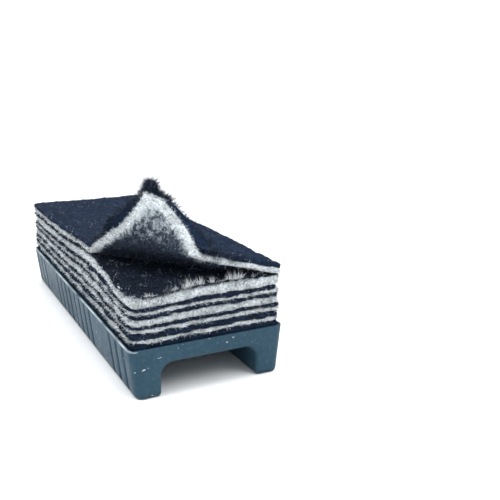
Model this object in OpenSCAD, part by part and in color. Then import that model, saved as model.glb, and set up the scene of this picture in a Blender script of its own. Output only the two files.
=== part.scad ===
// Chalkboard eraser: a moulded plastic holder on two rails, and a stack of
// two-ply felt sheets that peel off one by one. The top sheet has one corner lifted.
// Millimetres. +X runs along the length, +Z is up, and the rails stand on z = 0.

/* [Eraser] */
// Length of the holder
holder_length = 127; // [110:1:150]
// Width of the holder at its rim
holder_width = 48; // [44:0.5:54]
// Height of the holder from the rail tips to the rim
holder_height = 14.6; // [13:0.1:18]

/* [Holder] */
// Thickness of the deck between the rails and the rim
deck_thickness = 5.1; // [4:0.1:6]
// Width of one rail at its tip
rail_width = 7.5; // [6:0.1:9]
// How far each outer side leans in from the rim to the rail tip
side_draft = 1.6; // [0:0.1:2]
// Radius of the four upright corners
corner_radius = 2.5; // [1:0.1:4]
// Radius where a rail meets the underside of the deck
channel_fillet = 3.6; // [1:0.1:4]
// Radius along the edges of each rail tip
tip_radius = 1.2; // [0.4:0.1:2]
// Radius on the lower edges at both ends of the holder
end_radius = 1.6; // [0.5:0.1:2.5]
// Thickness of the raised lip round the rim
lip_thickness = 0.8; // [0.6:0.1:1]
// Height of the lip above the tray floor
lip_height = 0.8; // [0.4:0.1:1.2]

/* [Grip grooves] */
// Distance from one groove to the next
groove_pitch = 6.4; // [5:0.1:7]
// Width of a groove
groove_width = 0.9; // [0.5:0.1:1.5]
// Depth of a groove
groove_depth = 0.5; // [0.3:0.1:0.8]
// Grooves in the middle of each side
middle_grooves = 8; // [4:2:8]
// Grooves near each end of a side
end_grooves = 3; // [1:2:3]
// Distance from the middle of the side to the middle groove of an end set
end_groove_offset = 50.5; // [46:0.5:51]

/* [Felt] */
// Thickness of the pressure-sensitive film that holds each sheet
tack_thickness = 0.1; // [0.05:0.05:0.2]
// Thickness of each sheet's white ply, from the holder up
white_thickness = [1.1, 1.1, 2.1, 0.9, 2.3, 1.5]; // [0.5:0.1:3]
// Thickness of each sheet's black ply, from the holder up
black_thickness = [1.8, 1.0, 1.2, 1.1, 1.1, 1.5]; // [0.5:0.1:3]
// Thickness of the black base felt
base_felt_thickness = 2.1; // [1.5:0.1:3]
// Thickness of the glue that bonds the base felt to the tray
glue_thickness = 0.2; // [0.1:0.05:0.4]
// Gap between the rim's outside and the felt
felt_inset = 1.2; // [1:0.1:2]
// Radius of the felt corners
felt_corner_radius = 1.5; // [0.5:0.1:3]
// How far each tack film stays back from the edge of its sheet
tack_margin = 1; // [0.5:0.1:3]

// How far the top sheet's tack film stays back from the far end of the fold
fold_margin = 3; // [2:0.5:6]

/* [Lifted corner] */
// Distance from the lifted corner along the long edge to where the sheet starts to lift
lift_along_edge = 38; // [30:1:45]
// Place of the lifted corner's tip, back from the sheet's near end
tip_back = 21; // [18:1:30]
// Place of the tip, in from the sheet's long edge
tip_in = 14; // [12:0.5:22]
// Height of the tip's underside above the sheet below
tip_rise = 24; // [15:1:25]
// How far the left edge's first control point is along from where the lift starts, and up
left_lead = [7.4, 6.7];
// The left edge's last control point: back from the near end, in from the long edge, and up
left_pull_offset = [10, 0.8, 12.7];
// How far the right edge's first control point is across from where the lift ends, and up
right_lead = [41.5, 11.8];
// The right edge's last control point: across from where the lift ends, and up
right_pull_offset = [13.5, 1.6];
// Steps along the lift, from where it starts to the tip
lift_steps = 12; // [6:1:16]
// Steps across the sheet
lift_columns = 8; // [4:1:12]

/* [Hidden] */
$fn = 48;
overcut = 1;
// A tiny overlap where two pieces of one solid meet
seam = 0.01;

sheet_count = len(white_thickness);
sheet_numbers = [1:sheet_count];

channel_depth = holder_height - deck_thickness;
tray_floor = holder_height - lip_height;
tip_half_width = holder_width / 2 - side_draft;
channel_half_width = tip_half_width - rail_width;

felt_half_length = holder_length / 2 - felt_inset;
felt_half_width = holder_width / 2 - felt_inset;
glue_bottom = tray_floor;
base_felt_bottom = glue_bottom + glue_thickness;
stack_bottom = base_felt_bottom + base_felt_thickness;

// The lifted corner, seen from above: the sheet stays flat up to the line from
// lift_start to lift_end, and the corner beyond that line rises.
lift_start = [felt_half_length - lift_along_edge, -felt_half_width, 0];
lift_end = [felt_half_length, felt_half_width, 0];
lifted_tip = [felt_half_length - tip_back, -felt_half_width + tip_in, tip_rise];
left_pull = [
    felt_half_length - left_pull_offset.x,
    left_pull_offset.y - felt_half_width,
    left_pull_offset.z
];
right_pull = [felt_half_length, felt_half_width - right_pull_offset.x, right_pull_offset.y];
// The lift within which the sheet's thickness swings from upright to square with the surface
normal_swing = 0.12;
// A small step for finding the direction along the lift
lift_step = 0.005;
// The edges stop just short of the point, because felt has no sharp tip
tip_cut = 0.97;

holder_colour = [0.36, 0.45, 0.51];
black_felt_colour = [0.10, 0.11, 0.16];
white_felt_colour = [0.80, 0.83, 0.83];
film_colour = [0.85, 0.85, 0.75];

// A rectangle centred on the origin with round corners
module rounded_plan(half_length, half_width, radius) {
    square([2 * half_length, 2 * (half_width - radius)], center = true);
    square([2 * (half_length - radius), 2 * half_width], center = true);
    for (x = [-1, 1], y = [-1, 1])
        translate([x * (half_length - radius), y * (half_width - radius)])
            circle(r = radius);
}

// One flat piece of the stack
module flat_layer(bottom, thickness, inset = 0) {
    translate([0, 0, bottom])
        linear_extrude(thickness)
            rounded_plan(felt_half_length - inset, felt_half_width - inset, felt_corner_radius);
}

// One rail in cross-section, with round tip edges; x is across, y is up
module rail_section() {
    outer_tip = tip_half_width;
    inner_tip = channel_half_width;
    polygon([
        [inner_tip, tip_radius],
        [inner_tip + tip_radius, 0],
        [outer_tip - tip_radius, 0],
        [outer_tip, tip_radius],
        [holder_width / 2, holder_height],
        [inner_tip, holder_height]
    ]);
    for (x = [inner_tip + tip_radius, outer_tip - tip_radius])
        translate([x, tip_radius])
            circle(r = tip_radius);
}

// The fillet where the inside of a rail meets the deck
module fillet_section() {
    difference() {
        translate([channel_half_width - channel_fillet, channel_depth - channel_fillet])
            square(channel_fillet + seam);
        translate([channel_half_width - channel_fillet, channel_depth - channel_fillet])
            circle(r = channel_fillet);
    }
}

// The whole cross-section of the holder: deck, two rails and their fillets
module holder_section() {
    translate([-channel_half_width - overcut, channel_depth])
        square([2 * (channel_half_width + overcut), deck_thickness]);
    for (side = [0, 1])
        mirror([side, 0]) {
            rail_section();
            fillet_section();
        }
}

// Stands a cross-section upright and runs it along the length
module along_length(length) {
    rotate([90, 0, 90])
        translate([0, 0, -length / 2])
            linear_extrude(length)
                children();
}

// What an end_radius takes off a square lower edge, running across the holder
module end_edge_cutter(edge_height, half_width) {
    for (end = [0, 1])
        mirror([end, 0, 0])
            translate([holder_length / 2 - end_radius, half_width, edge_height])
                rotate([90, 0, 0])
                    linear_extrude(2 * half_width)
                        difference() {
                            translate([0, -overcut])
                                square([end_radius + overcut, end_radius + overcut]);
                            translate([0, end_radius])
                                circle(r = end_radius);
                        }
}

// Grooves across the rail tips and up the outer sides, in three sets per side
module grip_grooves() {
    middle = [for (i = [0:middle_grooves - 1]) (i - (middle_grooves - 1) / 2) * groove_pitch];
    ends = [for (side = [-1, 1], i = [0:end_grooves - 1])
        side * end_groove_offset + (i - (end_grooves - 1) / 2) * groove_pitch];
    lean = atan(side_draft / holder_height);
    for (x = concat(middle, ends), side = [0, 1])
        mirror([0, side, 0]) {
            translate([x - groove_width / 2, tip_half_width, 0])
                rotate([-lean, 0, 0])
                    translate([0, -groove_depth, -overcut])
                        cube([groove_width, groove_depth + overcut, tray_floor + overcut]);
            translate([x - groove_width / 2, channel_half_width - overcut, -overcut])
                cube([groove_width, rail_width + 2 * overcut, groove_depth + overcut]);
        }
}

module holder() {
    color(holder_colour)
        difference() {
            intersection() {
                along_length(holder_length) holder_section();
                linear_extrude(holder_height)
                    rounded_plan(holder_length / 2, holder_width / 2, corner_radius);
            }
            translate([0, 0, tray_floor])
                linear_extrude(lip_height + overcut)
                    rounded_plan(holder_length / 2 - lip_thickness,
                                 holder_width / 2 - lip_thickness,
                                 corner_radius - lip_thickness);
            end_edge_cutter(0, holder_width / 2);
            grip_grooves();
        }
}

module tray_glue() {
    color(film_colour)
        flat_layer(glue_bottom, glue_thickness, tack_margin);
}

module base_felt() {
    color(black_felt_colour)
        flat_layer(base_felt_bottom, base_felt_thickness);
}

// Heights of the joins inside a sheet and between sheets, counted from 1 at the holder
function sheet_thickness(i) = tack_thickness + white_thickness[i - 1] + black_thickness[i - 1];
function sheet_bottom(i) = i == 1 ? stack_bottom : sheet_bottom(i - 1) + sheet_thickness(i - 1);
function white_bottom(i) = sheet_bottom(i) + tack_thickness;
function black_bottom(i) = white_bottom(i) + white_thickness[i - 1];

// A cubic Bezier curve
function bezier(a, b, c, d, t) =
    pow(1 - t, 3) * a + 3 * pow(1 - t, 2) * t * b + 3 * (1 - t) * t * t * c + pow(t, 3) * d;

// The two edges of the lifted corner
function left_edge(v) =
    bezier(lift_start, lift_start + [left_lead.x, 0, left_lead.y], left_pull, lifted_tip, v);
function right_edge(v) =
    bezier(lift_end, lift_end + [0, -right_lead.x, right_lead.y], right_pull, lifted_tip, v);

// The underside of the lifted corner: u goes across it, v from the flat part to the tip
function lifted_point(u, v) = (1 - u) * left_edge(v) + u * right_edge(v);
function unit(vector) = vector / norm(vector);
function lifted_normal(u, v) =
    let (across = right_edge(v) - left_edge(v),
         along = lifted_point(u, v + lift_step) - lifted_point(u, v),
         swing = min(1, v / normal_swing))
    unit(swing * unit(cross(along, across)) + (1 - swing) * [0, 0, 1]);

// Rows of points at one height in the sheet: the far end, then the lift from its start
function sheet_rows(height) = concat(
    [[for (j = [0:lift_columns])
        [-felt_half_length, felt_half_width * (2 * j / lift_columns - 1), height]]],
    [for (i = [0:lift_steps])
        let (v = tip_cut * i / lift_steps)
        [for (j = [0:lift_columns])
            let (u = j / lift_columns)
            lifted_point(u, v) + height * lifted_normal(u, v)]]
);

// A ply of the top sheet, between two heights above the sheet's underside
module lifted_ply(low, thickness) {
    rows = lift_steps + 2;
    columns = lift_columns + 1;
    layer = rows * columns;
    points = [for (height = [low, low + thickness], row = sheet_rows(height), point = row) point];
    cells = [for (r = [0:rows - 2], c = [0:columns - 2]) r * columns + c];
    under = [for (k = cells) each [[k, k + columns + 1, k + columns], [k, k + 1, k + columns + 1]]];
    over = [for (face = under) [face[0] + layer, face[2] + layer, face[1] + layer]];
    border = concat(
        [for (c = [0:columns - 1]) c],
        [for (r = [1:rows - 1]) r * columns + columns - 1],
        [for (c = [columns - 2:-1:0]) (rows - 1) * columns + c],
        [for (r = [rows - 2:-1:1]) r * columns]
    );
    walls = [for (k = [0:len(border) - 1])
        let (a = border[k], b = border[(k + 1) % len(border)])
        each [[a, a + layer, b + layer], [a, b + layer, b]]];
    translate([0, 0, sheet_bottom(sheet_count)])
        polyhedron(points, concat(under, over, walls));
}

module sheet_tack(i) {
    color(film_colour)
        if (i < sheet_count)
            flat_layer(sheet_bottom(i), tack_thickness, tack_margin);
        else
            translate([0, 0, sheet_bottom(i)])
                linear_extrude(tack_thickness)
                    polygon([
                        [tack_margin - felt_half_length, tack_margin - felt_half_width],
                        [lift_start.x - tack_margin, tack_margin - felt_half_width],
                        [lift_end.x - fold_margin, felt_half_width - tack_margin],
                        [tack_margin - felt_half_length, felt_half_width - tack_margin]
                    ]);
}

module sheet_white(i) {
    color(white_felt_colour)
        if (i < sheet_count)
            flat_layer(white_bottom(i), white_thickness[i - 1]);
        else
            lifted_ply(tack_thickness, white_thickness[i - 1]);
}

module sheet_black(i) {
    color(black_felt_colour)
        if (i < sheet_count)
            flat_layer(black_bottom(i), black_thickness[i - 1]);
        else
            lifted_ply(tack_thickness + white_thickness[i - 1], black_thickness[i - 1]);
}

holder();
tray_glue();
base_felt();
for (i = sheet_numbers) {
    sheet_tack(i);
    sheet_white(i);
    sheet_black(i);
}
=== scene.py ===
"""Chalkboard eraser: a moulded plastic holder and a stack of two-ply felt sheets, the top one
with a lifted corner. Lengths are worked out in millimetres and go to Blender in metres."""
import math

import bmesh
import bpy
import numpy as np
from mathutils import Matrix, Vector
from mathutils.geometry import tessellate_polygon


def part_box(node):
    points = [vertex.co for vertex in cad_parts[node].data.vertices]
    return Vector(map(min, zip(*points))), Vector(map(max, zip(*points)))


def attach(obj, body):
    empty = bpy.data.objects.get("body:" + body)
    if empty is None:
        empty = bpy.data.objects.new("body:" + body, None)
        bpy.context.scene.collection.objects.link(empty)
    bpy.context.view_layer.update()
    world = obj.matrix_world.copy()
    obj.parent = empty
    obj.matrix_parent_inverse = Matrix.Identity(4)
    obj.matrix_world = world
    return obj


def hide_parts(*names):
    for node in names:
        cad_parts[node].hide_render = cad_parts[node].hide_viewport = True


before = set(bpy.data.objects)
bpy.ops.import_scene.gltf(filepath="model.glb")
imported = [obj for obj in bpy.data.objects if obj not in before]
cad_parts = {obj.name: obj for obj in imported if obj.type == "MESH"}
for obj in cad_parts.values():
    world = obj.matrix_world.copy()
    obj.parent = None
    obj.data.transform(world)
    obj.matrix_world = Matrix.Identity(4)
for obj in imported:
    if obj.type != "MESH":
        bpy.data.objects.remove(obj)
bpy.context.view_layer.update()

MM = 0.001
SHEETS = 6

# Holder, as in the CAD model but for the last two, which are this visual piece's own
DECK_UNDERSIDE = 9.5
RAIL_WIDTH = 7.5
SIDE_DRAFT = 1.6
CORNER_RADIUS = 2.5
CHANNEL_FILLET = 3.6
TIP_RADIUS = 1.2
LIP_THICKNESS = 0.8
LIP_HEIGHT = 0.8
GROOVE_PITCH = 6.4
GROOVE_WIDTH = 0.9
GROOVE_DEPTH = 0.5
END_GROOVE_OFFSET = 50.5
END_RADIUS = 1.1
RIM_RADIUS = 0.25

# Lifted corner of the top sheet, as in the CAD model
LIFT_ALONG_EDGE = 38.0
TIP_BACK = 21.0
TIP_IN = 14.0
TIP_RISE = 24.0
TIP_CUT = 0.97
NORMAL_SWING = 0.12
TOP_BLACK_THICKNESS = 1.5

# Felt. These shapes are in the visual pieces only, not in the CAD model
FELT_CORNER_RADIUS = 2.0
PUFF_HEIGHT = 2.4
PUFF_PLACE = 20.0
PUFF_LENGTH = 28.0
PRESS_DEPTH = 1.6
CORNER_WEAR = 2.2
FRAY_RISE = 0.76
WHITE_TIP_CUT = 0.94
TIP_OVERHANG = 5.6
TIP_EXTRA = 4.6
LEFT_OVERHANG_SHARE = 0.62

# Grids: points across the felt, and rows along it
GRID_COLUMNS = 66
GRID_ROWS = 180
TOP_COLUMNS = 80
FLAT_ROWS = 96
LIFT_ROWS = 56

# Camera and light, in metres, degrees and watts
CAMERA_PLACE = (0.2277, -0.0754, 0.0881)
CAMERA_HEADING = 151.9
CAMERA_PITCH = 14.78
CAMERA_ROLL = 0.53
CAMERA_LENS = 49.17
LAMP_TARGET = (0, 0, 0.02)
FLOOR_REACH = 3.0

# Colours
BLACK_DARK = (0.0025, 0.0038, 0.008)
BLACK_LIGHT = (0.013, 0.028, 0.062)
# Darker light tone of the black felt: painted shade for sheet 5's uncovered triangle under the lifted
# corner
SHADED_BLACK_LIGHT = (0.006, 0.012, 0.024)
BLACK_FLECK = (0.06, 0.08, 0.12)
WHITE_DARK = (0.28, 0.32, 0.34)
WHITE_LIGHT = (0.84, 0.89, 0.91)
WHITE_FLECK = (0.020, 0.028, 0.045)
# Blue-grey of the painted shade in the lifted corner's fold
FOLD_SHADE_BLUE = (0.16, 0.23, 0.30)


def node_box(name):
    """Lowest and highest corner of a CAD node, in millimetres."""
    low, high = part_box(name)
    return np.array(low) / MM, np.array(high) / MM


holder_low, holder_high = node_box("holder")
HALF_LENGTH = holder_high[0]
HALF_WIDTH = holder_high[1]
RIM = holder_high[2]
FULL_STACK = node_box("sheet_6_tack")[0][2]
felt_low, felt_high = node_box("base_felt")
FELT_LENGTH = felt_high[0]
FELT_WIDTH = felt_high[1]


# ---------------------------------------------------------------- camera and light

def add_camera():
    """The camera looks down at the near end and the long side."""
    heading = math.radians(CAMERA_HEADING)
    pitch = math.radians(CAMERA_PITCH)
    roll = math.radians(CAMERA_ROLL)
    forward = Vector((math.cos(heading) * math.cos(pitch),
                      math.sin(heading) * math.cos(pitch),
                      -math.sin(pitch)))
    right = Vector((math.sin(heading), -math.cos(heading), 0))
    up = right.cross(forward)
    turned_right = math.cos(roll) * right + math.sin(roll) * up
    turned_up = math.cos(roll) * up - math.sin(roll) * right
    data = bpy.data.cameras.new("camera")
    data.sensor_width = 36
    data.lens = CAMERA_LENS
    data.clip_start = 0.01
    camera = bpy.data.objects.new("camera", data)
    bpy.context.collection.objects.link(camera)
    turn = Matrix((turned_right, turned_up, -forward)).transposed().to_4x4()
    camera.matrix_world = Matrix.Translation(Vector(CAMERA_PLACE)) @ turn
    bpy.context.scene.camera = camera


def add_area_light(name, place, size, power):
    data = bpy.data.lights.new(name, "AREA")
    data.shape = "SQUARE"
    data.size = size
    data.energy = power
    light = bpy.data.objects.new(name, data)
    bpy.context.collection.objects.link(light)
    light.location = place
    light.rotation_euler = (Vector(LAMP_TARGET) - Vector(place)).to_track_quat("-Z", "Y").to_euler()


def add_studio():
    """Three soft lamps, a pale world that is brighter on the -X side, and a white floor."""
    add_area_light("key", (0.02, -0.28, 0.55), 0.3, 1.1)
    add_area_light("top", (0.05, 0.05, 0.75), 0.5, 3.0)
    add_area_light("side", (0.38, 0.26, 0.48), 0.3, 1.5)
    world = bpy.data.worlds.new("studio")
    world.use_nodes = True
    nodes = world.node_tree.nodes
    links = world.node_tree.links
    background = nodes["Background"]
    background.inputs["Color"].default_value = (0.94, 0.97, 1.0, 1)
    way = nodes.new("ShaderNodeTexCoord").outputs["Generated"]
    split = nodes.new("ShaderNodeSeparateXYZ")
    ramp = nodes.new("ShaderNodeMapRange")
    links.new(way, split.inputs["Vector"])
    links.new(split.outputs["X"], ramp.inputs["Value"])
    ramp.inputs["From Min"].default_value = -0.1
    ramp.inputs["From Max"].default_value = 0.7
    ramp.inputs["To Min"].default_value = 1.36
    ramp.inputs["To Max"].default_value = 0.85
    links.new(ramp.outputs["Result"], background.inputs["Strength"])
    bpy.context.scene.world = world
    bpy.context.scene.view_settings.view_transform = "Standard"

    mesh = bpy.data.meshes.new("floor")
    corners = [(x * FLOOR_REACH, y * FLOOR_REACH, 0) for x, y in ((-1, -1), (1, -1), (1, 1), (-1, 1))]
    mesh.from_pydata(corners, [], [(0, 1, 2, 3)])
    floor = bpy.data.objects.new("floor", mesh)
    bpy.context.collection.objects.link(floor)
    floor.data.materials.append(floor_material())


# ---------------------------------------------------------------- materials

class Shader:
    """A small helper for building one node material."""

    def __init__(self, name):
        self.material = bpy.data.materials.new(name)
        self.material.use_nodes = True
        self.nodes = self.material.node_tree.nodes
        self.links = self.material.node_tree.links
        self.surface = self.nodes["Principled BSDF"]
        self.place = self.nodes.new("ShaderNodeTexCoord").outputs["Object"]

    def link(self, source, target):
        self.links.new(source, target)

    def noise(self, scale, detail=3.0, roughness=0.55, stretch=None):
        """Noise with so many cells to the metre."""
        node = self.nodes.new("ShaderNodeTexNoise")
        node.inputs["Scale"].default_value = scale
        node.inputs["Detail"].default_value = detail
        node.inputs["Roughness"].default_value = roughness
        if stretch:
            mapping = self.nodes.new("ShaderNodeMapping")
            mapping.inputs["Scale"].default_value = stretch
            self.link(self.place, mapping.inputs["Vector"])
            self.link(mapping.outputs["Vector"], node.inputs["Vector"])
        else:
            self.link(self.place, node.inputs["Vector"])
        return node.outputs["Fac"]

    def attribute(self, name):
        """A number stored on the mesh's points; zero where the mesh has none."""
        node = self.nodes.new("ShaderNodeAttribute")
        node.attribute_name = name
        return node.outputs["Fac"]

    def add(self, first, second, weight):
        """first + second * weight"""
        node = self.nodes.new("ShaderNodeMath")
        node.operation = "MULTIPLY_ADD"
        node.inputs[1].default_value = weight
        self.link(second, node.inputs[0])
        self.link(first, node.inputs[2])
        return node.outputs["Value"]

    def ramp(self, source, stops):
        """A colour ramp; each stop is a position and a grey value or a colour."""
        node = self.nodes.new("ShaderNodeValToRGB")
        elements = node.color_ramp.elements
        while len(elements) < len(stops):
            elements.new(0.5)
        for element, (position, value) in zip(elements, stops):
            element.position = position
            colour = (value,) * 3 if isinstance(value, (int, float)) else value
            element.color = (*colour, 1)
        self.link(source, node.inputs["Fac"])
        return node.outputs["Color"]

    def mix(self, factor, first, second, kind="MIX"):
        node = self.nodes.new("ShaderNodeMix")
        node.data_type = "RGBA"
        node.blend_type = kind
        for socket, value in ((0, factor), (6, first), (7, second)):
            if hasattr(value, "links"):
                self.link(value, node.inputs[socket])
            elif socket == 0:
                node.inputs[socket].default_value = value
            else:
                node.inputs[socket].default_value = (*value, 1)
        return node.outputs[2]

    def bump(self, height, strength, distance, base=None):
        node = self.nodes.new("ShaderNodeBump")
        node.inputs["Strength"].default_value = strength
        node.inputs["Distance"].default_value = distance
        self.link(height, node.inputs["Height"])
        if base:
            self.link(base, node.inputs["Normal"])
        return node.outputs["Normal"]


def floor_material():
    s = Shader("floor_paper")
    grain = s.ramp(s.noise(60), [(0.3, 0.89), (0.7, 0.92)])
    s.link(grain, s.surface.inputs["Base Color"])
    s.surface.inputs["Roughness"].default_value = 0.6
    return s.material


def plastic_material():
    """Slate-blue moulded plastic with a fine satin skin, faint mottling and a few white scuffs; painted
    shade darkens the grooves and a painted highlight lightens the rim edge.
    """
    s = Shader("holder_plastic")
    mottle = s.ramp(s.noise(45, 4), [(0.3, (0.014, 0.041, 0.066)), (0.7, (0.026, 0.064, 0.094))])
    dust = s.ramp(s.noise(900, 4, 0.7), [(0.50, 0.0), (0.80, 0.28)])
    dusty = s.mix(dust, mottle, (0.11, 0.16, 0.19))
    scuff_spots = s.ramp(s.noise(420, 2, 0.5, (1, 1, 2.2)), [(0.70, 0.0), (0.73, 0.9)])
    scuff_zones = s.ramp(s.noise(40, 1), [(0.48, 0.0), (0.60, 1.0)])
    scuffs = s.mix(1.0, scuff_spots, scuff_zones, "MULTIPLY")
    scuffed = s.mix(scuffs, dusty, (0.50, 0.56, 0.58))
    # Painted shade: the grooves are darkened by their depth, standing in for the shade inside them
    groove_shaded = s.mix(s.attribute("groove_shade"), scuffed, (0.008, 0.014, 0.020))
    # Painted highlight: a lighter, uneven line along the rim edge
    s.link(s.mix(s.attribute("rim_highlight"), groove_shaded, (0.42, 0.50, 0.53)), s.surface.inputs["Base Color"])
    s.surface.inputs["Specular IOR Level"].default_value = 0.12
    s.link(s.ramp(s.noise(300, 3), [(0.3, 0.36), (0.7, 0.50)]), s.surface.inputs["Roughness"])
    skin = s.bump(s.noise(2600, 2), 0.25, 0.00006)
    s.link(s.bump(s.noise(120, 2), 0.15, 0.0003, skin), s.surface.inputs["Normal"])
    return s.material


def felt_material(name, dark, light, fleck, fleck_start, depth):
    """Needled felt: tangled fibres at two scales, with flecks of the other colour. Where the mesh's
    fold_shade is high, the flecks close up and a veil, half fleck colour and half blue-grey, covers the
    felt: partly black fibres and partly painted shade in the fold."""
    s = Shader(name)
    tangle = s.noise(1700, 6, 0.8)
    clumps = s.noise(330, 4, 0.6)
    colour = s.ramp(tangle, [(0.34, dark), (0.60, light)])
    shade = s.ramp(clumps, [(0.33, 0.58), (0.56, 1.0)])
    shaded = s.mix(1.0, colour, shade, "MULTIPLY")
    spots = s.add(s.noise(620, 6, 0.78), s.attribute("fold_shade"), 0.22)
    flecks = s.ramp(spots, [(fleck_start, 0.0), (fleck_start + 0.12, 0.95)])
    # Painted shade: the veil darkens the felt where fold_shade is high
    veil = s.ramp(s.attribute("fold_shade"), [(0.0, 0.0), (0.80, 0.90)])
    veiled = s.mix(veil, shaded, s.mix(0.5, fleck, FOLD_SHADE_BLUE))
    s.link(s.mix(flecks, veiled, fleck), s.surface.inputs["Base Color"])
    s.surface.inputs["Roughness"].default_value = 0.95
    s.surface.inputs["Specular IOR Level"].default_value = 0.1
    fine = s.bump(s.noise(3000, 4, 0.75), 0.9, 0.0004)
    s.link(s.bump(clumps, 0.7, depth, fine), s.surface.inputs["Normal"])
    return s.material


def fibre_material(name, stops):
    """Loose fibres, each with its own shade between the stops."""
    s = Shader(name)
    island = s.nodes.new("ShaderNodeNewGeometry").outputs["Random Per Island"]
    s.link(s.ramp(island, stops), s.surface.inputs["Base Color"])
    s.surface.inputs["Roughness"].default_value = 0.8
    s.surface.inputs["Specular IOR Level"].default_value = 0.12
    return s.material


def film_material(name, thin, thick):
    """A thin dried adhesive, a little uneven in colour and gloss."""
    s = Shader(name)
    s.link(s.ramp(s.noise(350, 4), [(0.35, thin), (0.65, thick)]), s.surface.inputs["Base Color"])
    s.link(s.ramp(s.noise(500), [(0.3, 0.25), (0.7, 0.5)]), s.surface.inputs["Roughness"])
    s.link(s.bump(s.noise(800), 0.3, 0.00005), s.surface.inputs["Normal"])
    return s.material


# ---------------------------------------------------------------- mesh helpers

def face_outward(mesh):
    """Turn every face's normal to the outside."""
    work = bmesh.new()
    work.from_mesh(mesh)
    bmesh.ops.recalc_face_normals(work, faces=work.faces)
    work.to_mesh(mesh)
    work.free()


def make_object(name, points, faces, material, smooth=True):
    """A mesh object from points in millimetres; faces is a list of index rows."""
    mesh = bpy.data.meshes.new(name)
    mesh.from_pydata((np.asarray(points) * MM).tolist(), [], [list(map(int, f)) for f in faces])
    mesh.validate()
    face_outward(mesh)
    mesh.polygons.foreach_set("use_smooth", np.full(len(mesh.polygons), smooth))
    mesh.materials.append(material)
    mesh.update()
    piece = bpy.data.objects.new(name, mesh)
    bpy.context.collection.objects.link(piece)
    return piece


def store(piece, name, values):
    """Keep one number per point on the mesh, for its material."""
    data = piece.data.attributes.new(name, "FLOAT", "POINT").data
    data.foreach_set("value", np.asarray(values, dtype=np.float32).ravel())


def ripple(x, y, size, seed, waves=9):
    """Smooth random waves about `size` millimetres long, roughly between -1 and 1."""
    rng = np.random.default_rng(seed)
    total = np.zeros(np.broadcast(x, y).shape)
    for _ in range(waves):
        angle = rng.uniform(0, 2 * math.pi)
        rate = 2 * math.pi / (size * rng.uniform(0.6, 1.6))
        phase = rng.uniform(0, 2 * math.pi)
        total += np.sin(rate * (x * math.cos(angle) + y * math.sin(angle)) + phase)
    return total / math.sqrt(waves)


def smoothstep(low, high, value):
    """0 at low, 1 at high, with eased ends."""
    t = np.clip((value - low) / (high - low), 0, 1)
    return t * t * (3 - 2 * t)


def grid_faces(rows, columns, start=0, flip=False):
    """Quads over a grid of points that is stored row by row."""
    r, c = np.meshgrid(np.arange(rows - 1), np.arange(columns - 1), indexing="ij")
    k = (start + r * columns + c).ravel()
    quads = np.stack([k, k + 1, k + columns + 1, k + columns], axis=1)
    return quads[:, ::-1] if flip else quads


def grid_border(rows, columns):
    """Indices round the edge of a grid, anticlockwise in row and column order."""
    top = list(range(columns))
    right = [r * columns + columns - 1 for r in range(1, rows)]
    bottom = [(rows - 1) * columns + c for c in range(columns - 2, -1, -1)]
    left = [r * columns for r in range(rows - 2, 0, -1)]
    return np.array(top + right + bottom + left)


# ---------------------------------------------------------------- holder

def arc(centre, radius, start, end, steps):
    """Points of an arc in cross-section, with the direction from its centre."""
    angles = np.radians(np.linspace(start, end, steps))
    ways = np.stack([np.cos(angles), np.sin(angles)], axis=1)
    return np.array(centre) + radius * ways, ways


def straight(first, last, way, steps):
    """Points of a straight stretch in cross-section, all with one outward direction."""
    t = np.linspace(0, 1, steps)[:, None]
    return np.array(first) * (1 - t) + np.array(last) * t, np.tile(np.array(way, float), (steps, 1))


def holder_outline():
    """Half of the cross-section, from the middle of the tray floor out, down the side, round the
    rail tip and back along the underside. Each point has an outward direction."""
    tip = HALF_WIDTH - SIDE_DRAFT
    inner = tip - RAIL_WIDTH
    floor = RIM - LIP_HEIGHT
    lip_inner = HALF_WIDTH - LIP_THICKNESS
    lean = math.degrees(math.atan(SIDE_DRAFT / RIM))
    side_way = (math.cos(math.radians(lean)), -math.sin(math.radians(lean)))
    parts = [
        straight((0, floor), (lip_inner - 0.1, floor), (0, 1), 8),
        straight((lip_inner, floor + 0.1), (lip_inner, RIM - RIM_RADIUS), (-1, 0), 3),
        arc((lip_inner + RIM_RADIUS, RIM - RIM_RADIUS), RIM_RADIUS, 150, 90, 3),
        arc((HALF_WIDTH - RIM_RADIUS, RIM - RIM_RADIUS), RIM_RADIUS, 90, -lean, 4),
        straight((HALF_WIDTH - 0.03, RIM - 0.5), (HALF_WIDTH - 0.1, RIM - 0.9), side_way, 3),
        straight((HALF_WIDTH - 0.12, RIM - 1.05), (tip + 0.05, TIP_RADIUS + 0.2), side_way, 10),
        arc((tip - TIP_RADIUS, TIP_RADIUS), TIP_RADIUS, -lean, -90, 6),
        arc((inner + TIP_RADIUS, TIP_RADIUS), TIP_RADIUS, -90, -180, 6),
        straight((inner, TIP_RADIUS + 0.3), (inner, DECK_UNDERSIDE - CHANNEL_FILLET - 0.3), (-1, 0), 5),
    ]
    fillet, fillet_way = arc((inner - CHANNEL_FILLET, DECK_UNDERSIDE - CHANNEL_FILLET),
                             CHANNEL_FILLET, 0, 90, 8)
    parts.append((fillet, -fillet_way))
    parts.append(straight((inner - CHANNEL_FILLET - 0.5, DECK_UNDERSIDE), (0, DECK_UNDERSIDE), (0, -1), 6))
    points = np.concatenate([p for p, _ in parts])
    ways = np.concatenate([w for _, w in parts])
    return points, ways


def groove_centres():
    middle = [(i - 3.5) * GROOVE_PITCH for i in range(8)]
    ends = [side * END_GROOVE_OFFSET + (i - 1) * GROOVE_PITCH for side in (-1, 1) for i in range(3)]
    return np.array(sorted(middle + ends))


def groove_depth(x):
    """How deep the grooves cut at a place along the length, with eased edges."""
    distance = np.abs(x - groove_centres()).min()
    half = GROOVE_WIDTH / 2
    return GROOVE_DEPTH * (1 - smoothstep(half - 0.12, half + 0.10, distance))


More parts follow.
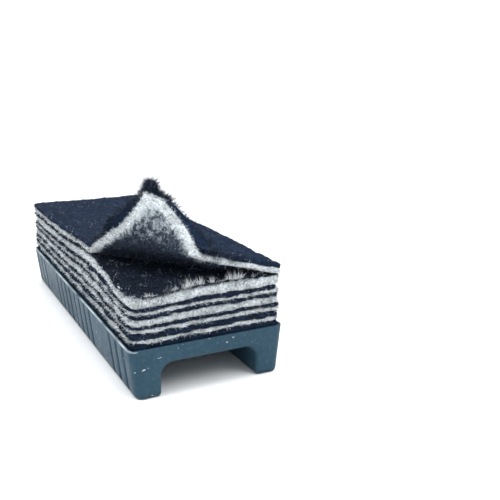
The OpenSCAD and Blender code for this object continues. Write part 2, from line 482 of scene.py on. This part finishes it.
def holder_stations():
    """Places along the length where the cross-section is set, closer where the shape changes."""
    half = GROOVE_WIDTH / 2
    near_groove = [c + d for c in groove_centres()
                   for d in (-half - 0.12, -half, -half + 0.14, 0, half - 0.14, half, half + 0.12)]
    near_end = [0.0, 0.06, 0.16, 0.32, 0.55, LIP_THICKNESS - 0.04, LIP_THICKNESS + 0.06, 1.1, 1.4, 1.8,
                CORNER_RADIUS, 3.0]
    ends = [side * (HALF_LENGTH - d) for side in (-1, 1) for d in near_end]
    even = [x for x in np.arange(-58, 58.1, 2.0) if np.abs(x - groove_centres()).min() > 0.9]
    return np.array(sorted(near_groove + ends + even))


def rounding(distance, radius):
    """How far a round edge has pulled back, at a distance from the end face."""
    reach = np.clip(radius - distance, 0, radius)
    return radius - math.sqrt(radius * radius - reach * reach)


def build_holder():
    """Cross-sections along the length, with the grooves cut in and the ends rounded off. It also stores the
    painted groove shade and the painted rim highlight for the material.
    """
    half_points, half_ways = holder_outline()
    points = np.concatenate([half_points, half_points[-2:0:-1] * (-1, 1)])
    ways = np.concatenate([half_ways, half_ways[-2:0:-1] * (-1, 1)])
    across, height = points[:, 0], points[:, 1]
    floor = RIM - LIP_HEIGHT
    on_tray = (height >= floor - 0.01) & (np.abs(across) < HALF_WIDTH - LIP_THICKNESS + 0.12)
    on_rim = (height > RIM - 0.45) & ~on_tray
    outside = (np.abs(across) > HALF_WIDTH - SIDE_DRAFT - RAIL_WIDTH + 0.4) & ~on_tray & ~on_rim
    grooved = outside & ((ways[:, 1] < -0.5) | (ways[:, 0] * np.sign(across) > 0.1))
    grooved &= height < floor - 0.2
    upright = np.abs(ways[:, 0]) * (ways[:, 0] * np.sign(across) > 0)
    tip_half_width = HALF_WIDTH - SIDE_DRAFT
    outwardness = np.clip((np.abs(across) - tip_half_width + RAIL_WIDTH) / RAIL_WIDTH, 0, 1) * ~on_tray
    outer = np.abs(across) > HALF_WIDTH - LIP_THICKNESS / 2
    stations = holder_stations()
    rings, groove_shade, rim_highlight = [], [], []
    for x in stations:
        distance = HALF_LENGTH - abs(x)
        ring = points.copy()
        ring -= ways * groove_depth(x) * grooved[:, None]
        corner = rounding(distance, CORNER_RADIUS) * outwardness
        edge = rounding(distance, END_RADIUS) * (1 - upright) * ~(on_tray | on_rim)
        rim = rounding(distance, RIM_RADIUS) * on_rim
        ring -= ways * (edge + rim)[:, None]
        ring[:, 0] -= np.sign(across) * corner
        if distance < LIP_THICKNESS:
            ring[on_tray, 1] = RIM - rounding(distance, RIM_RADIUS)
            ring[on_tray, 0] = np.clip(ring[on_tray, 0], -ring[on_rim, 0].max(), ring[on_rim, 0].max())
        else:
            tray_corner = rounding(distance - LIP_THICKNESS, CORNER_RADIUS - LIP_THICKNESS)
            limit = HALF_WIDTH - LIP_THICKNESS - tray_corner
            ring[on_tray, 0] = np.clip(ring[on_tray, 0], -limit, limit)
        rings.append(np.column_stack([np.full(len(ring), x), ring]))
        # Painted shade in the grooves: the deeper the groove, the darker
        groove_shade.append(0.95 * groove_depth(x) / GROOVE_DEPTH * grooved)
        # Painted highlight along the rim's outer edge, and along the end's top edge near the ends
        rim_edge = on_rim & outer if distance > 0.4 else (height > RIM - 0.3) & (distance > 0.03)
        rim_highlight.append((0.55 + 0.35 * ripple(np.full(len(ring), x), ring[:, 0], 9, 71)) * rim_edge)
    count = len(points)
    vertices = np.concatenate(rings)
    faces = []
    for s in range(len(stations) - 1):
        for k in range(count):
            following = (k + 1) % count
            faces.append((s * count + k, s * count + following,
                          (s + 1) * count + following, (s + 1) * count + k))
    last = (len(stations) - 1) * count
    for start, flip in ((0, False), (last, True)):
        corners = [Vector((0, *vertices[start + k][1:])) for k in range(count)]
        for triangle in tessellate_polygon([corners]):
            face = [start + k for k in triangle]
            faces.append(face[::-1] if flip else face)
    piece = make_object("holder_body", vertices, faces, PLASTIC)
    store(piece, "groove_shade", np.concatenate(groove_shade))
    store(piece, "rim_highlight", np.clip(np.concatenate(rim_highlight), 0, 1))
    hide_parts("holder")
    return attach(piece, "holder")


# ---------------------------------------------------------------- felt

def settle(x, y, z):
    """The stack is pressed down at the corner where the top sheet was pulled up, and puffed up
    along the long edge behind it."""
    gap = np.hypot(x - FELT_LENGTH, (y + FELT_WIDTH) * 1.2)
    pressed = PRESS_DEPTH * (1 - smoothstep(2, 26, gap))
    side = 0.25 + 0.75 * smoothstep(FELT_WIDTH, -FELT_WIDTH, y)
    puffed = PUFF_HEIGHT * np.exp(-((x - PUFF_PLACE) / PUFF_LENGTH) ** 2) * side
    share = np.clip((z - RIM) / (FULL_STACK - RIM), 0, 1)
    return z + (puffed - pressed) * share


def worn_corner(points):
    """The upper layers are rounded off at the corner where the top sheet was pulled up."""
    gap = np.hypot(points[..., 0] - FELT_LENGTH, points[..., 1] + FELT_WIDTH)
    share = np.clip((points[..., 2] - RIM) / (FULL_STACK - RIM), 0, 1)
    pull = CORNER_WEAR * share * np.clip(1 - gap / 10, 0, 1) ** 2
    shift = np.stack([-pull, pull, np.zeros_like(pull)], axis=-1)
    return points + shift


def join_wave(x, y, seed):
    """Unevenness of the join between two plies, at three scales."""
    return (0.15 * ripple(x, y, 13, seed) + 0.12 * ripple(x, y, 4.5, seed + 50)
            + 0.10 * ripple(x, y, 1.9, seed + 70))


def join_height(x, y, level, seed):
    """Height of the uneven join between two plies."""
    return settle(x, y, level + join_wave(x, y, seed))


def round_corners(x, y, far_end_only=False):
    """Pull a grid's corners in to the sheet's round corners."""
    radius = FELT_CORNER_RADIUS
    dx = (-x if far_end_only else np.abs(x)) - (FELT_LENGTH - radius)
    dy = np.abs(y) - (FELT_WIDTH - radius)
    corner = (dx > 0) & (dy > 0)
    shrink = np.maximum(dx, dy) / (np.hypot(dx, dy) + 1e-9)
    round_x = np.where(corner, np.sign(x) * (FELT_LENGTH - radius + dx * shrink), x)
    round_y = np.where(corner, np.sign(y) * (FELT_WIDTH - radius + dy * shrink), y)
    return round_x, round_y


def plan_grid():
    """A grid over the sheet's outline, with round corners: x and y arrays, one row per x."""
    x = np.linspace(-FELT_LENGTH, FELT_LENGTH, GRID_ROWS)[:, None] * np.ones(GRID_COLUMNS)
    y = np.linspace(-FELT_WIDTH, FELT_WIDTH, GRID_COLUMNS)[None, :] * np.ones((GRID_ROWS, 1))
    return round_corners(x, y)


def edge_wave(x, y, height, seed):
    """How far the cut edge stands out at a place round the sheet."""
    along = x + 0.7 * y
    return (0.26 * ripple(along, height * 0, 7, seed) + 0.16 * ripple(along, height * 1.5, 1.9, seed + 9)
            + 0.08 * ripple(along, height * 4, 0.9, seed + 17))


def felt_solid(lower, upper, outward, seed, bulge=0.22, side_rows=3):
    """A closed felt ply between two grids of points, with a soft uneven edge."""
    rows, columns = lower.shape[:2]
    border = grid_border(rows, columns)
    low = lower.reshape(-1, 3).copy()
    high = upper.reshape(-1, 3).copy()
    push = outward.reshape(-1, 3)[border]
    bottom_edge = low[border].copy()
    top_edge = high[border].copy()
    walls = []
    for k in range(1, side_rows + 1):
        t = k / (side_rows + 1)
        ring = bottom_edge * (1 - t) + top_edge * t
        stand = bulge * (1 - (2 * t - 1) ** 2) + edge_wave(ring[:, 0], ring[:, 1], ring[:, 2], seed)
        walls.append(ring + push * stand[:, None])
    pull = edge_wave(bottom_edge[:, 0], bottom_edge[:, 1], 0, seed) * 0.8 - 0.12
    low[border] += push * pull[:, None]
    high[border] += push * pull[:, None]
    points = np.concatenate([low, high] + walls)
    size = rows * columns
    count = len(border)
    rings = [border] + [2 * size + k * count + np.arange(count) for k in range(side_rows)] + [border + size]
    faces = [grid_faces(rows, columns, 0, flip=False), grid_faces(rows, columns, size, flip=True)]
    for a, b in zip(rings[:-1], rings[1:]):
        a_next, b_next = np.roll(a, -1), np.roll(b, -1)
        faces.append(np.stack([a, b, b_next, a_next], axis=1))
    return points, np.concatenate(faces), rings


def flat_outward(x, y):
    """Unit direction away from the middle line of the sheet, at the grid's edge."""
    rim = FELT_CORNER_RADIUS
    dx = np.sign(x) * (np.abs(x) > FELT_LENGTH - rim) * smoothstep(-rim, 0, np.abs(x) - FELT_LENGTH)
    dy = np.sign(y) * (np.abs(y) > FELT_WIDTH - rim) * smoothstep(-rim, 0, np.abs(y) - FELT_WIDTH)
    way = np.stack([dx, dy, np.zeros_like(dx)], axis=-1)
    return way / np.maximum(np.linalg.norm(way, axis=-1, keepdims=True), 1e-6)


def declare_ply(piece, node, body):
    """The ply takes its CAD node's place: the node is hidden and the ply is attached to its body."""
    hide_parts(node)
    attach(piece, body)


def frayed_rise(x, y):
    """The sheet that lost its cover shows its white ply higher up along the two open edges."""
    near_end = smoothstep(-4.5, -0.3, x - FELT_LENGTH)
    long_edge = smoothstep(-3.0, -0.3, -y - FELT_WIDTH) * smoothstep(14, 26, x)
    return FRAY_RISE * np.maximum(near_end, long_edge)


def build_flat_ply(node, low_seed, high_seed, body, material, gap, seed):
    """A ply that lies flat, with the CAD node's height; plies that meet share a join's seed."""
    low, high = node_box(node)
    x, y = plan_grid()
    lower = np.stack([x, y, join_height(x, y, low[2], low_seed) + gap], axis=-1)
    upper = np.stack([x, y, join_height(x, y, high[2], high_seed)], axis=-1)
    lower, upper = worn_corner(lower), worn_corner(upper)
    if node == "base_felt":
        lower[..., 2] = low[2]
    if node == f"sheet_{SHEETS - 1}_white":
        upper[..., 2] += frayed_rise(x, y)
    if node == f"sheet_{SHEETS - 1}_black":
        lower[..., 2] += frayed_rise(x, y)
    stand_out = 0.3 if node == "base_felt" else 1.0
    points, faces, rings = felt_solid(lower, upper, flat_outward(x, y) * stand_out, seed)
    piece = make_object(node + "_ply", points, faces, material)
    declare_ply(piece, node, body)
    return piece, points, rings


# ---------------------------------------------------------------- lifted top sheet

def bezier(a, b, c, d, t):
    """Points of a cubic curve from a to d."""
    t = np.asarray(t)[..., None]
    return (1 - t) ** 3 * a + 3 * (1 - t) ** 2 * t * b + 3 * (1 - t) * t * t * c + t ** 3 * d


# The lifted corner's two edges: where each leaves the flat sheet, its two pulls and the tip
LIFT_START = np.array([FELT_LENGTH - LIFT_ALONG_EDGE, -FELT_WIDTH, 0.0])
LIFT_END = np.array([FELT_LENGTH, FELT_WIDTH, 0.0])
LIFTED_TIP = np.array([FELT_LENGTH - TIP_BACK, -FELT_WIDTH + TIP_IN, TIP_RISE])
LEFT_LEAD = LIFT_START + (7.4, 0, 6.7)
LEFT_PULL = np.array([FELT_LENGTH - 10, -FELT_WIDTH + 0.8, 12.7])
RIGHT_LEAD = LIFT_END + (0, -41.5, 11.8)
RIGHT_PULL = np.array([FELT_LENGTH, FELT_WIDTH - 13.5, 1.6])


def left_edge(v):
    return bezier(LIFT_START, LEFT_LEAD, LEFT_PULL, LIFTED_TIP, v)


def right_edge(v):
    return bezier(LIFT_END, RIGHT_LEAD, RIGHT_PULL, LIFTED_TIP, v)


def unit(vectors):
    return vectors / np.maximum(np.linalg.norm(vectors, axis=-1, keepdims=True), 1e-9)


def lifted_surface(u, v):
    """Underside of the lifted corner, its upward normal, and the directions across and along it."""
    left, right = left_edge(v), right_edge(v)
    place = (1 - u)[..., None] * left + u[..., None] * right
    step = 0.004
    ahead = (1 - u)[..., None] * left_edge(v + step) + u[..., None] * right_edge(v + step)
    across = unit(right - left)
    along = unit(ahead - place)
    swing = np.clip(v / NORMAL_SWING, 0, 1)[..., None]
    upright = np.array([0, 0, 1.0])
    return place, unit(swing * unit(np.cross(along, across)) + (1 - swing) * upright), across, along


def top_sheet_grid(overhang, tip_extra, last_lift):
    """Grid of the top sheet's underside: points, normals, outward directions and lift v."""
    s = np.linspace(0, 1, TOP_COLUMNS)
    start = LIFT_START[0] + s * (LIFT_END[0] - LIFT_START[0])
    t = np.linspace(0, 1, FLAT_ROWS + 1)[:-1]
    x = -FELT_LENGTH + t[:, None] * (start[None, :] + FELT_LENGTH)
    y = -FELT_WIDTH + 2 * FELT_WIDTH * s[None, :] * np.ones_like(x)
    x, y = round_corners(x, y, far_end_only=True)
    flat = np.stack([x, y, np.zeros_like(x)], axis=-1)
    flat_normal = np.zeros_like(flat)
    flat_normal[..., 2] = 1
    flat_out = flat_outward(np.minimum(x, FELT_LENGTH - 2.5), y)
    u, v = np.meshgrid(s, np.linspace(0, last_lift, LIFT_ROWS))
    place, normal, across, along = lifted_surface(u, v)
    side = 2 * u - 1
    reach = overhang * smoothstep(0.34, 0.62, v) * np.where(side > 0, 1.0, LEFT_OVERHANG_SHARE)
    near_tip = smoothstep(0.72, TIP_CUT, v)
    reach = reach * (1 - 0.45 * near_tip)
    place = place + across * (0.25 * tip_extra * near_tip)[..., None]
    place = place + across * (side * side * side * reach)[..., None]
    place = place + along * (tip_extra * near_tip * (1 - np.abs(side)))[..., None]
    weight = smoothstep(0.80, 1.0, np.abs(side))
    out = across * (np.sign(side) * weight)[..., None]
    end = smoothstep(last_lift - 0.05, last_lift, v)
    out = unit(out + along * (end * 1.5)[..., None] + 1e-9)
    points = np.concatenate([flat, place])
    normals = np.concatenate([flat_normal, normal])
    outward = np.concatenate([flat_out, out])
    lift = np.concatenate([np.zeros((FLAT_ROWS, TOP_COLUMNS)), v])
    return points, normals, outward, lift


def fold_shade(lift, columns):
    """How dark the lifted corner's underside is: partly black fibres left by the sheet below and partly
    painted shade in the fold, most of it near the fold, and none along the cut edges."""
    u = np.linspace(0, 1, columns)[None, :] * np.ones_like(lift)
    place = (1 - u)[..., None] * left_edge(lift) + u[..., None] * right_edge(lift)
    along = np.linspace(0, 1, 80)
    from_left, from_right = [
        np.linalg.norm(place[..., None, :] - edge(along), axis=-1).min(axis=-1)
        for edge in (left_edge, right_edge)]
    by_lift = np.interp(lift, [0, 0.30, 0.45, 0.62, 0.78, 0.92], [1, 1, 0.86, 0.66, 0.44, 0.24])
    edges = smoothstep(1.0, 3.8, from_left) * smoothstep(1.8, 4.5, from_right)
    return by_lift * edges * (lift > 0)


def top_ply(node, low, high, low_seed, high_seed, overhang, tip_extra, last_lift, material,
            seed):
    """A ply of the top sheet between two heights above the sheet's underside."""
    base, normals, outward, lift = top_sheet_grid(overhang, tip_extra, last_lift)
    under = node_box("sheet_6_tack")[0][2]
    x, y = base[..., 0], base[..., 1]
    flatness = 1 - smoothstep(0.0, 0.30, lift)

    def layer(height, wave_seed):
        wave = join_wave(x, y, wave_seed)
        own = 0.22 * ripple(x, y + base[..., 2], 6, wave_seed + 90)
        place = base + normals * (height + wave * flatness + own * (1 - flatness))[..., None]
        settled = settle(x, y, np.full_like(x, FULL_STACK)) - FULL_STACK
        place[..., 2] += under + settled
        return place

    lower = layer(low, low_seed)
    upper = layer(high, high_seed)
    points, faces, rings = felt_solid(lower, upper, outward, seed)
    piece = make_object(node + "_ply", points, faces, material)
    shade = np.zeros(len(points))
    under_shade = fold_shade(lift, TOP_COLUMNS)
    # Only the white ply's underside carries the painted fold shade; the black ply's stays zero
    if material == WHITE_FELT:
        shade[:under_shade.size] = under_shade.ravel()
    store(piece, "fold_shade", shade)
    declare_ply(piece, node, "sheet_6")
    return piece, points, rings, (lower, upper, normals, under_shade, lift)


# ---------------------------------------------------------------- loose fibres

def build_fibres(name, roots, ways, lengths, thickness, material, body, seed):
    """Thin bent spindles, each a closed solid of six faces."""
    rng = np.random.default_rng(seed)
    count = len(roots)
    ways = unit(ways)
    bend = unit(rng.normal(size=(count, 3))) * lengths[:, None] * 0.28
    middle = roots + ways * lengths[:, None] * 0.55 + bend * 0.5
    tips = roots + ways * lengths[:, None] + bend * 1.2
    helper = unit(np.cross(ways, unit(rng.normal(size=(count, 3)))))
    other = np.cross(ways, helper)
    wide = (thickness * rng.uniform(0.7, 1.4, count) / 2)[:, None]
    ring = [middle + wide * (math.cos(a) * helper + math.sin(a) * other)
            for a in (0, 2 * math.pi / 3, 4 * math.pi / 3)]
    points = np.stack([roots] + ring + [tips], axis=1).reshape(-1, 3)
    k = (np.arange(count) * 5)[:, None]
    pattern = np.array([[0, 2, 1], [0, 3, 2], [0, 1, 3], [4, 1, 2], [4, 2, 3], [4, 3, 1]])
    faces = (k[:, None, :] + pattern[None, :, :]).reshape(-1, 3)
    piece = make_object(name, points, faces, material, smooth=False)
    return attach(piece, body)


def edge_fibres(name, points, rings, count, material, body, seed, length=(0.4, 1.2),
                thickness=0.08, stand=0.8, above=0.0):
    """Fibres that stick out of a ply's cut edge, all of it or only the part above a height."""
    rng = np.random.default_rng(seed)
    walls = np.stack([points[r] for r in rings])
    level = rng.uniform(0.3, len(rings) - 1.3, count)
    place = rng.uniform(0, walls.shape[1], count)
    a = np.floor(place).astype(int) % walls.shape[1]
    b = (a + 1) % walls.shape[1]
    row = np.floor(level).astype(int)
    mix = (place - np.floor(place))[:, None]
    rise = (level - row)[:, None]
    roots = ((walls[row, a] * (1 - mix) + walls[row, b] * mix) * (1 - rise)
             + (walls[row + 1, a] * (1 - mix) + walls[row + 1, b] * mix) * rise)
    tangent = unit(walls[row, b] - walls[row, a])
    upward = unit(walls[-1][a] - walls[0][a])
    out = unit(np.cross(tangent, upward))
    out *= np.sign(np.einsum("ij,ij->i", out, walls[2][a] - walls[0][a]) + 1e-9)[:, None]
    ways = unit(out * stand + 0.75 * rng.normal(size=(count, 3)))
    inward = np.einsum("ij,ij->i", ways, out)
    ways -= out * np.minimum(inward - 0.1, 0)[:, None]
    roots = roots - out * 0.12
    kept = roots[:, 2] > above
    lengths = rng.uniform(*length, kept.sum())
    return build_fibres(name, roots[kept], ways[kept], lengths, thickness, material, body, seed)


def fuzz_edges(name, points, rings, body, seed, is_white, amount=1.0):
    """Fibres of a ply's own colour, and fewer of the other colour that lie over it."""
    own, other = (WHITE_FIBRE, BLACK_FIBRE) if is_white else (BLACK_FIBRE, WHITE_FIBRE)
    stray = 2600 if is_white else 420
    edge_fibres(name + "_fuzz", points, rings, int(4600 * amount), own, body, seed)
    edge_fibres(name + "_stray", points, rings, stray, other, body, seed + 1,
                (0.3, 1.0), 0.11 if is_white else 0.05, 0.3)


def surface_fibres(name, surface, normals, count, material, body, seed, length, lean, mask=None,
                   thickness=0.05):
    """Fibres that lie about on a grid surface."""
    rng = np.random.default_rng(seed)
    rows, columns = surface.shape[:2]
    r = rng.uniform(0, rows - 1.001, count)
    c = rng.uniform(0, columns - 1.001, count)
    if mask is not None:
        keep = mask[r.astype(int), c.astype(int)] > rng.uniform(0, 1, count)
        r, c = r[keep], c[keep]
        count = len(r)
    i, j = r.astype(int), c.astype(int)
    fr, fc = (r - i)[:, None], (c - j)[:, None]
    roots = ((surface[i, j] * (1 - fr) + surface[i + 1, j] * fr) * (1 - fc)
             + (surface[i, j + 1] * (1 - fr) + surface[i + 1, j + 1] * fr) * fc)
    up = normals[i, j]
    ways = up * lean + rng.normal(size=(count, 3)) * 0.6
    inward = np.einsum("ij,ij->i", ways, up) < 0.08
    ways[inward] += up[inward] * 0.35
    lengths = rng.uniform(*length, count)
    return build_fibres(name, roots - up * 0.05, ways, lengths, thickness, material, body, seed)


def near_fringe(points, rings, seed):
    """White fibres drawn upright along the near end of the sheet that lost its cover."""
    rng = np.random.default_rng(seed)
    edge = points[rings[-1]]
    edge = edge[(edge[:, 0] > FELT_LENGTH - 0.8) & (np.abs(edge[:, 1]) < FELT_WIDTH - 1)]
    order = edge[np.argsort(edge[:, 1])]
    y = rng.uniform(-FELT_WIDTH + 2, FELT_WIDTH - 2, 2600)
    tufts = np.clip(0.5 + ripple(y, y * 0, 3.4, seed), 0, 1) * smoothstep(-FELT_WIDTH - 4, -4, y)
    tufts *= 1 - smoothstep(12, 18, y)
    y = y[tufts > rng.uniform(0, 1, len(y))]
    roots = np.column_stack([np.interp(y, order[:, 1], order[:, axis]) for axis in range(3)])
    roots[:, 0] -= rng.uniform(-0.25, 0.4, len(y))
    roots[:, 2] -= 0.5
    ways = rng.normal(size=(len(y), 3)) * 0.28 + (-0.15, 0, 1)
    tall = np.clip(0.6 + 0.6 * ripple(y, y * 0, 5, seed + 1), 0.15, 1)
    lengths = rng.uniform(1.0, 2.9, len(y)) * tall + 0.5
    return build_fibres("near_end_fringe", roots, ways, lengths, 0.06, WHITE_FIBRE,
                        "sheet_5", seed)


# ---------------------------------------------------------------- build everything

def paint_films():
    """The glue and the release films are shown as their CAD solids."""
    films = [("tray_glue", GLUE)] + [(f"sheet_{i}_tack", FILM) for i in range(1, SHEETS + 1)]
    for node, material in films:
        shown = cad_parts[node]
        shown.data.materials.clear()
        shown.data.materials.append(material)


def build_base():
    base, points, rings = build_flat_ply(
        "base_felt", 0, 1, "holder", BLACK_FELT, 0.0, 300)
    edge_fibres("base_felt_fuzz", points, rings, 2600, BLACK_FIBRE, "holder", 301,
                (0.25, 0.7))
    return base


def build_flat_sheets(below):
    """Sheets 1 to 5. The last of them is uncovered at one corner, so it is frayed there. Its black felt is
    a darker copy of the others': painted shade for the uncovered triangle that lies under the lifted
    corner."""
    for i in range(1, SHEETS):
        body = f"sheet_{i}"
        uncovered = i == SHEETS - 1
        white, points, rings = build_flat_ply(
            f"sheet_{i}_white", 2 * i - 1, 2 * i, body, WHITE_FELT, 0.04, 310 + i)
        fuzz_edges(f"sheet_{i}_white", points, rings, body, 330 + 2 * i, True)
        if uncovered:
            near_fringe(points, rings, 390)
        # Painted shade: the uncovered sheet gets the darker copy of the black felt
        surface = SHADED_BLACK_FELT if uncovered else BLACK_FELT
        black, points, rings = build_flat_ply(
            f"sheet_{i}_black", 2 * i, 2 * i + 1, body, surface, 0.0, 350 + i)
        fuzz_edges(f"sheet_{i}_black", points, rings, body, 370 + 2 * i, False)
        below = black
    return below


def build_top_sheet():
    """Sheet 6, with the frayed edge and the tuft of its lifted corner."""
    under = node_box("sheet_6_tack")[0][2]
    tack_top = node_box("sheet_6_tack")[1][2] - under
    white_top = node_box("sheet_6_black")[0][2] - under
    white, points, rings, white_grids = top_ply(
        "sheet_6_white", tack_top, white_top, 11, 12, 0.0, 0.0, WHITE_TIP_CUT,
        WHITE_FELT, 400)
    fuzz_edges("sheet_6_white", points, rings, "sheet_6", 401, True)
    _, points, rings, black_grids = top_ply(
        "sheet_6_black", white_top, white_top + TOP_BLACK_THICKNESS, 12, 13, TIP_OVERHANG, TIP_EXTRA,
        TIP_CUT, BLACK_FELT, 403)
    fuzz_edges("sheet_6_black", points, rings, "sheet_6", 404, False, 1.3)
    fringe_start = FULL_STACK + 6
    edge_fibres("lifted_edge_fringe", points, rings, 15000, BLACK_FIBRE, "sheet_6", 406,
                (0.8, 2.6), 0.09, 0.8, fringe_start)
    tuft_start = points[:, 2].max() - 7.0
    edge_fibres("tip_tuft", points, rings, 12000, BLACK_FIBRE, "sheet_6", 407,
                (1.2, 3.8), 0.08, 1.0, tuft_start)
    return white_grids, black_grids


def fuzz_lifted_underside(grids):
    """White fuzz on the underside of the lifted corner, and black fuzz where the painted fold shade is:
    black fibres that also stand in for the shade in the fold. The white fuzz is kept out of the shaded
    part.
    """
    surface, _, normals, shade, lift = grids
    on_lift = (lift > 0.02).astype(float)
    surface_fibres("lifted_underside_white_fuzz", surface, -normals, 9000, WHITE_FIBRE,
                   "sheet_6", 410, (0.5, 1.6), 0.3, on_lift * (1 - shade) ** 2)
    surface_fibres("lifted_underside_dark_fuzz", surface, -normals, 14000, BLACK_FIBRE,
                   "sheet_6", 411, (0.4, 1.3), 0.2, on_lift * shade, 0.09)
    # Many black fibres at the fold hide its line inside the painted fold shade
    at_fold = ((lift > 0.01) & (lift < 0.22) & (shade > 0.5)).astype(float)
    surface_fibres("fold_fuzz", surface, -normals, 40000, BLACK_FIBRE,
                   "sheet_6", 414, (0.8, 2.3), 0.5, at_fold, 0.08)


def fuzz_top(grids):
    """Short black fuzz on the top sheet, and white lint in patches."""
    _, surface, normals, _, _ = grids
    surface_fibres("top_black_fuzz", surface, normals, 12000, BLACK_FIBRE,
                   "sheet_6", 412, (0.5, 1.4), 0.25)
    zones = np.clip(0.15 + ripple(surface[..., 0], surface[..., 1], 22, 81), 0, 1)
    surface_fibres("top_lint", surface, normals, 1500, WHITE_FIBRE,
                   "sheet_6", 413, (0.4, 1.3), 0.12, zones, 0.035)


def fuzz_exposed_surface():
    """Fuzz and lint on sheet 5, in the triangle that the lifted corner has uncovered."""
    x, y = plan_grid()
    surface = np.stack([x, y, join_height(x, y, node_box("sheet_5_black")[1][2], 11)], axis=-1)
    up = np.zeros_like(surface)
    up[..., 2] = 1
    fold = (LIFT_END - LIFT_START)[:2]
    beyond_fold = (x - LIFT_START[0]) * fold[1] - (y - LIFT_START[1]) * fold[0]
    uncovered = (beyond_fold > 60).astype(float)
    surface_fibres("exposed_black_fuzz", surface, up, 42000, BLACK_FIBRE,
                   "sheet_5", 420, (0.4, 1.2), 0.25, uncovered, 0.07)
    zones = np.clip(0.1 + 0.8 * ripple(x, y, 9, 82), 0, 1) ** 1.5
    surface_fibres("exposed_lint", surface, up, 9000, WHITE_FIBRE,
                   "sheet_5", 421, (0.3, 1.7), 0.3, uncovered * zones, 0.035)


add_camera()
add_studio()

PLASTIC = plastic_material()
BLACK_FELT = felt_material("black_felt", BLACK_DARK, BLACK_LIGHT, BLACK_FLECK, 0.63, 0.0009)
# A darker copy of the black felt: painted shade on sheet 5, whose uncovered triangle lies under the lifted
# corner
SHADED_BLACK_FELT = felt_material("shaded_black_felt", BLACK_DARK, SHADED_BLACK_LIGHT, BLACK_FLECK, 0.63, 0.0009)
WHITE_FELT = felt_material("white_felt", WHITE_DARK, WHITE_LIGHT, WHITE_FLECK, 0.540, 0.0007)
BLACK_FIBRE = fibre_material("black_fibre", [
    (0.0, (0.003, 0.0045, 0.009)), (0.7, (0.016, 0.024, 0.044)), (1.0, (0.085, 0.115, 0.165))])
WHITE_FIBRE = fibre_material("white_fibre", [
    (0.0, (0.03, 0.04, 0.06)), (0.14, (0.38, 0.43, 0.46)),
    (0.5, (0.76, 0.80, 0.81)), (1.0, (0.90, 0.93, 0.93))])
FILM = film_material("tack_film", (0.30, 0.31, 0.30), (0.48, 0.48, 0.44))
GLUE = film_material("tray_glue", (0.38, 0.35, 0.24), (0.55, 0.52, 0.40))

holder = build_holder()
paint_films()
base = build_base()
top_of_flat = build_flat_sheets(base)
white_grids, black_grids = build_top_sheet()
fuzz_lifted_underside(white_grids)
fuzz_top(black_grids)
fuzz_exposed_surface()
